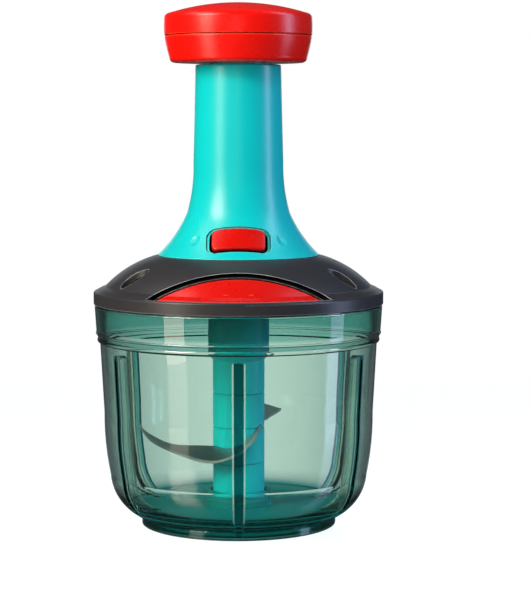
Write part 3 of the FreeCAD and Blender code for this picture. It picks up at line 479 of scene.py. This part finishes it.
def node_tree(name, **sockets):
    """A tree of geometry nodes with named inputs, and what comes in through them."""
    tree = bpy.data.node_groups.new(name, "GeometryNodeTree")
    tree.interface.new_socket(name="Geometry", in_out="INPUT", socket_type="NodeSocketGeometry")
    tree.interface.new_socket(name="Geometry", in_out="OUTPUT", socket_type="NodeSocketGeometry")
    for label, kind in sockets.items():
        tree.interface.new_socket(name=label, in_out="INPUT", socket_type="NodeSocket" + kind)
    return tree, add(tree, "NodeGroupInput")


def close_tree(tree, geometry, coat):
    """Ends a tree: what it holds is made real and takes its material."""
    whole = add(tree, "GeometryNodeRealizeInstances", None, (geometry,))[0]
    coated = add(tree, "GeometryNodeSetMaterial", None, {"Geometry": whole, "Material": coat})[0]
    add(tree, "NodeGroupOutput", None, (coated,))


def grown(name, tree, start, values):
    """The plain mesh that a node tree makes from a starting mesh and named values."""
    holder = bpy.data.objects.new(name, start)
    bpy.context.scene.collection.objects.link(holder)
    modifier = holder.modifiers.new(name, "NODES")
    modifier.node_group = tree
    for socket in tree.interface.items_tree:
        if socket.name in values:
            modifier[socket.identifier] = values[socket.name]
    graph = bpy.context.evaluated_depsgraph_get()
    mesh = bpy.data.meshes.new_from_object(holder.evaluated_get(graph), depsgraph=graph)
    bpy.data.objects.remove(holder)
    mesh.name = name
    return mesh


tree, given = node_tree(
    "coil", Radius="Float", Turns="Float", Wire="Float", Height="Float", Foot="Float", Metal="Material"
)
flat = add(
    tree,
    "GeometryNodeCurveSpiral",
    None,
    {
        "Resolution": 40,
        "Rotations": given["Turns"],
        "Start Radius": given["Radius"],
        "End Radius": given["Radius"],
        "Height": 0.0,
    },
)["Curve"]
# The wire climbs between these shares of its length, and its end turns lie closed and flat.
along = add(tree, "GeometryNodeSplineParameter")["Factor"]
climb_start, climb_stop = 0.13, 0.87
climb = add(tree, "ShaderNodeMapRange", None, (along, climb_start, climb_stop))[0]
lift = add(
    tree, "ShaderNodeMath", {"operation": "MULTIPLY_ADD"}, (climb, given["Height"], given["Foot"])
)[0]
up = add(tree, "ShaderNodeCombineXYZ", None, {"Z": lift})[0]
raised = add(tree, "GeometryNodeSetPosition", None, {"Geometry": flat, "Offset": up})[0]
section = add(
    tree, "GeometryNodeCurvePrimitiveCircle", None, {"Resolution": 12, "Radius": given["Wire"]}
)["Curve"]
wire = add(
    tree,
    "GeometryNodeCurveToMesh",
    None,
    {"Curve": raised, "Profile Curve": section, "Fill Caps": True},
)[0]
close_tree(tree, wire, given["Metal"])
coil_sizes = {"Radius": 0.0146, "Turns": 6.6, "Wire": 0.00075, "Height": 0.0154, "Foot": 0.1288}
coil = grown("coil", tree, bpy.data.meshes.new("nothing"), {**coil_sizes, "Metal": wire_steel})
own_piece("return_spring_coil", coil, "lid", "spring_steel", "return_spring")


# ---- Screws ----
# Eleven small self-tapping screws, all driven from below: four hold the inner cover, four the
# tower and three the knob. They are cold-headed with a cross recess, rolled and zinc plated.
def screw_mesh(name, shank, length):
    """One screw standing on its head, with a cross recess and a rolled thread; sizes in mm."""
    head, head_height, rim_foot, rim_top, chamfer = 2.9, 1.8, 0.3, 1.4, 0.5
    recess_depth, recess_reach, recess_half_width = 0.9, 0.66, 0.42
    pitch, thread_depth, tip, tip_reach = 1.1, 0.35, 1.6, 0.4
    ease_in, ease_up = 0.12, 0.05
    sides, face_rings, rings_per_turn = 32, 9, 8
    thread_rings = int((length - head_height) * rings_per_turn / pitch)
    rings = [(head * k / face_rings, 0.0) for k in range(1, face_rings)]
    rings += [(head - ease_in, ease_up), (head, rim_foot), (head, rim_top)]
    rings += [(head - chamfer, head_height), (shank, head_height)]
    rings += [(shank, head_height + k * pitch / rings_per_turn) for k in range(1, thread_rings)]
    shape = bmesh.new()
    loops = []
    for radius, height in rings:
        loop = []
        for i in range(sides):
            angle = 2 * math.pi * i / sides
            x, y = math.cos(angle), math.sin(angle)
            reach, lift = radius, height
            arm = min(abs(x), abs(y)) * radius < recess_half_width and radius < head * recess_reach
            if height == 0 and arm:
                lift = recess_depth
            if height > head_height:
                cut = 0.5 + 0.5 * math.cos(2 * math.pi * height / pitch - angle)
                taper = min(1.0, (length - height + tip_reach) / tip)
                reach = (shank - thread_depth * cut) * taper
            loop.append(shape.verts.new((x * reach / 1000, y * reach / 1000, lift / 1000)))
        loops.append(loop)
    for low, high in zip(loops, loops[1:]):
        for i in range(sides):
            j = (i + 1) % sides
            shape.faces.new((low[i], low[j], high[j], high[i])).smooth = True
    for loop, height in ((loops[0], recess_depth), (loops[-1], length)):
        point = shape.verts.new((0, 0, height / 1000))
        for i in range(sides):
            shape.faces.new((loop[i], loop[(i + 1) % sides], point))
    mesh = finished(shape, name, zinc_plate)
    mesh.set_sharp_from_angle(angle=math.radians(40))
    return mesh


screw_tree, given = node_tree("screws", Screw="Object", Metal="Material")
screw = add(
    screw_tree, "GeometryNodeObjectInfo", None, {"Object": given["Screw"], "As Instance": True}
)["Geometry"]
placed = add(
    screw_tree,
    "GeometryNodeInstanceOnPoints",
    None,
    {"Points": given["Geometry"], "Instance": screw},
)[0]
close_tree(screw_tree, placed, given["Metal"])


def screws(node, body, shank, length, ring, angles, height):
    """A set of equal screws on a ring, in place of the CAD node of that name; sizes in mm."""
    model = bpy.data.objects.new(node, screw_mesh(node, shank, length))
    places = bpy.data.meshes.new(node)
    places.from_pydata([at(ring, angle, height) for angle in angles], [], [])
    mesh = grown(node, screw_tree, places, {"Screw": model, "Metal": zinc_plate})
    bpy.data.objects.remove(model)
    own_piece(node + "_crosshead", mesh, body, "screw_steel", node)


screws("lid_screws", "lid", 1.5, 9.0, ring=55.0, angles=(-150, -98, 98, 150), height=109.6)
screws("tower_screws", "lid", 1.4, 9.4, ring=30.0, angles=(-135, -50, 50, 135), height=130.4)
screws("knob_screws", "plunger", 1.4, 9.0, ring=24.0, angles=(60, 180, 300), height=231.2)


# ---- Knob ----
# Two mouldings that meet in a fine seam: the cap that the palm presses, and the base that holds
# the tube. Both are polished ABS in red, and a stepped spigot in the cap closes the seam.
# Its edges carry a painted orange highlight, and gaps within 1.6 mm carry painted shade.
red_plastic = moulded(
    "moulded_abs_red_polished", "#DE0C00", "#DA0A00",
    roughness=0.28, peel=1.6, depth=0.002, gloss=0.35, edge_highlight="#FF6A38",
)
put_on(red_plastic, "knob_cap", "knob_base")
# Radius and height of the corners of the spigot's section, in mm, from its foot outwards.
section = [(31.9, 242.4), (32.7, 242.2), (33.0, 242.6), (33.0, 244.0), (35.7, 244.0), (35.7, 244.4)]
section += [(33.8, 244.4), (33.8, 247.0), (31.9, 247.0)]
steps = 120
shape = bmesh.new()
rings = []
for k in range(steps):
    angle = 2 * math.pi * k / steps
    x, y = math.cos(angle), math.sin(angle)
    rings.append([shape.verts.new((r * x / 1000, r * y / 1000, z / 1000)) for r, z in section])
for one, two in zip(rings, rings[1:] + rings[:1]):
    for i in range(len(section)):
        j = (i + 1) % len(section)
        shape.faces.new((one[i], two[i], two[j], one[j]))
spigot = finished(shape, "knob_cap_spigot", red_plastic)
own_piece("knob_cap_spigot", spigot, "plunger", "red_gloss")


# ---- Room ----
# A glossy white table that runs into a white wall. A warm lamp stands high at the left with a tall
# strip near it, a cool strip at the right, two small panels overhead and a low one behind; a hard
# lamp, a broad one in front and one above light without being mirrored.
def lamp(name, place, aim, width, height, watts, colour, mirrored=True):
    """A soft rectangular lamp that shines on a point and doesn't show itself."""
    data = bpy.data.lights.new(name, "AREA")
    data.shape = "RECTANGLE"
    data.size = width
    data.size_y = height
    data.energy = watts
    data.color = linear(colour)[:3]
    lit = bpy.data.objects.new(name, data)
    lit.location = place
    lit.rotation_euler = (Vector(aim) - Vector(place)).to_track_quat("-Z", "Y").to_euler()
    lit.visible_camera = False
    lit.visible_glossy = mirrored
    lit.visible_transmission = False
    bpy.context.scene.collection.objects.link(lit)


lamp("key", (-1.00, -0.80, 0.80), (0, 0, 0.13), 0.62, 0.6, 21.0, "#FFEAD6")
lamp("streak", (-0.34, -0.30, 0.36), (0, 0, 0.36), 0.13, 0.72, 1.5, "#FFE9D6")
lamp("side", (1.00, -0.12, 0.45), (0, 0, 0.15), 0.26, 1.3, 9.5, "#C8D6FF")
lamp("fill", (-0.35, -1.20, 1.10), (0, 0, 0.13), 0.20, 0.15, 5.0, "#F2F5FF", mirrored=False)
lamp("front", (-0.10, -1.60, 0.30), (0, 0, 0.13), 0.6, 0.5, 4.0, "#FFFFFF", mirrored=False)
lamp("top", (0.10, 0.50, 1.40), (0, 0, 0.1), 1.4, 0.8, 3.0, "#FFFFFF", mirrored=False)
lamp("back", (0.0, 1.10, 0.28), (0, 0, 0.08), 0.8, 0.20, 0.7, "#DCE9F2")
lamp("sky_left", (-0.62, -0.02, 0.95), (0, 0, 0.12), 0.30, 0.50, 1.6, "#FFFFFF")
lamp("sky_right", (0.62, -0.02, 0.95), (0, 0, 0.12), 0.24, 0.50, 1.0, "#CFE0FF")


def sight(tree):
    """The path of a ray that meets the room, whether it came through clear plastic, and whether
    it came that way or straight from the camera. A mirror on the way weakens it in plastic."""
    mirror_loss = 0.8
    path = add(tree, "ShaderNodeLightPath")
    direct = add(tree, "ShaderNodeMath", {"operation": "LESS_THAN"}, (path["Diffuse Depth"], 0.5))[0]
    mirror = add(tree, "ShaderNodeMath", {"operation": "MINIMUM"}, (path["Glossy Depth"], 1.0))[0]
    left = add(tree, "ShaderNodeMath", {"operation": "MULTIPLY_ADD"}, (mirror, -mirror_loss, 1.0))[0]
    share = add(tree, "ShaderNodeMath", {"operation": "MULTIPLY"}, (direct, left))[0]
    through = add(
        tree, "ShaderNodeMath", {"operation": "MULTIPLY"}, (path["Is Transmission Ray"], share)
    )[0]
    either = add(tree, "ShaderNodeMath", {"operation": "MAXIMUM"}, (path["Is Camera Ray"], through))[0]
    return path, through, either


# The wall: white to the eye, and dim where it only lights the object. Dark screens at the sides,
# level with the object, give the bowl its darker flanks.
world = bpy.data.worlds.new("white_room")
bpy.context.scene.world = world
world.use_nodes = True
sky = world.node_tree
sky.nodes.clear()
path, _, seen = sight(sky)
room_light, room_mirrored = 0.20, 0.09
screen_inside, screen_outside, screen_dark = 0.30, 0.50, 0.95
screen_level, screen_over = 0.2, 0.4
lit = add(
    sky, "ShaderNodeMapRange", None, (path["Is Glossy Ray"], 0.0, 1.0, room_light, room_mirrored)
)[0]
room = add(sky, "ShaderNodeBackground", None, {"Color": linear("#DCE6EC"), "Strength": lit})[0]
way = add(sky, "ShaderNodeTexCoord")["Generated"]
x, _, z = add(sky, "ShaderNodeSeparateXYZ", None, (way,))
aside = add(sky, "ShaderNodeMath", {"operation": "ABSOLUTE"}, (x,))[0]
at_side = add(
    sky, "ShaderNodeMapRange", smooth, (aside, screen_inside, screen_outside, 0.0, screen_dark)
)[0]
upright = add(sky, "ShaderNodeMath", {"operation": "ABSOLUTE"}, (z,))[0]
level = add(sky, "ShaderNodeMapRange", smooth, (upright, screen_level, screen_over, 1.0, 0.0))[0]
screen = add(sky, "ShaderNodeMath", {"operation": "MULTIPLY"}, (at_side, level))[0]
behind = add(sky, "ShaderNodeMath", {"operation": "SUBTRACT"}, (1.0, screen))[0]
bright = add(sky, "ShaderNodeMath", {"operation": "MAXIMUM"}, (behind, path["Is Camera Ray"]))[0]
wall = add(sky, "ShaderNodeBackground", None, {"Color": linear("#FFFFFF"), "Strength": bright})[0]
both = add(sky, "ShaderNodeMixShader", None, (seen, room, wall))[0]
add(sky, "ShaderNodeOutputWorld", None, {"Surface": both})

# The table: white lacquer that keeps the object's shadow near it, and runs into the wall's white
# further out. Through the bowl it shows its shadow less, and the same dark screens beyond it.
table_mesh = bpy.data.meshes.new("table")
half = 3.0
corners = [(-half, -half, 0), (half, -half, 0), (half, half, 0), (-half, half, 0)]
table_mesh.from_pydata(corners, [], [(0, 1, 2, 3)])
table = bpy.data.objects.new("table", table_mesh)
bpy.context.scene.collection.objects.link(table)
lacquer, tree, shader, place = new_material("lacquered_white_table")
path, through, seen = sight(tree)
camera_ray = path["Is Camera Ray"]
glow_seen, glow_through = 0.84, 0.45
white_from, white_from_seen = 0.075, 0.20
white_to, white_to_seen = 0.14, 0.70
screen_splay, screen_edge, screen_full, screen_dark = -0.3, 0.14, 0.26, 0.95
screen_near, screen_far = 0.30, 0.50
top_coat = add(
    tree,
    "ShaderNodeMix",
    of_colours,
    {0: path["Is Glossy Ray"], 6: linear("#808486"), 7: linear("#303436")},
)[2]
feed(tree, shader, {"Base Color": top_coat, "Roughness": 0.12})
lift = add(tree, "ShaderNodeMath", {"operation": "MULTIPLY"}, (through, glow_through))[0]
level = add(tree, "ShaderNodeMath", {"operation": "MULTIPLY_ADD"}, (camera_ray, glow_seen, lift))[0]
glow = add(tree, "ShaderNodeEmission", None, {"Strength": level})[0]
near = add(tree, "ShaderNodeAddShader", None, (shader.outputs[0], glow))[0]

away = add(tree, "ShaderNodeVectorMath", {"operation": "LENGTH"}, (place,))["Value"]
start = add(tree, "ShaderNodeMapRange", None, (camera_ray, 0.0, 1.0, white_from, white_from_seen))[0]
stop = add(tree, "ShaderNodeMapRange", None, (camera_ray, 0.0, 1.0, white_to, white_to_seen))[0]
fade = add(tree, "ShaderNodeMapRange", smooth, (away, start, stop))[0]
x, y, _ = add(tree, "ShaderNodeSeparateXYZ", None, (place,))
aside = add(tree, "ShaderNodeMath", {"operation": "ABSOLUTE"}, (x,))[0]
depth = add(tree, "ShaderNodeMath", {"operation": "ABSOLUTE"}, (y,))[0]
off_line = add(tree, "ShaderNodeMath", {"operation": "MULTIPLY_ADD"}, (depth, screen_splay, aside))[0]
at_side = add(
    tree, "ShaderNodeMapRange", smooth, (off_line, screen_edge, screen_full, 0.0, screen_dark)
)[0]
beyond = add(tree, "ShaderNodeMapRange", smooth, (away, screen_near, screen_far, 0.0, 1.0))[0]
screen = add(tree, "ShaderNodeMath", {"operation": "MULTIPLY"}, (at_side, beyond))[0]
behind = add(tree, "ShaderNodeMath", {"operation": "SUBTRACT"}, (1.0, screen))[0]
bright = add(tree, "ShaderNodeMath", {"operation": "MAXIMUM"}, (behind, camera_ray))[0]
white = add(tree, "ShaderNodeEmission", None, {"Strength": bright})[0]
shown = add(tree, "ShaderNodeMath", {"operation": "MULTIPLY"}, (fade, seen))[0]
cover = add(tree, "ShaderNodeMixShader", None, (shown, near, white))[0]
feed(tree, tree.nodes["Material Output"], {"Surface": cover})
table_mesh.materials.append(lacquer)

tilt_down, turn_right = 5.37, 0.767
camera_data = bpy.data.cameras.new("camera")
camera_data.lens = 116.5
camera_data.clip_end = 20.0
camera = bpy.data.objects.new("camera", camera_data)
camera.location = (0.0, -0.99, 0.2026)
camera.rotation_euler = (math.radians(90 - tilt_down), 0, math.radians(-turn_right))
bpy.context.scene.collection.objects.link(camera)
bpy.context.scene.camera = camera
bpy.context.scene.view_settings.view_transform = "Standard"
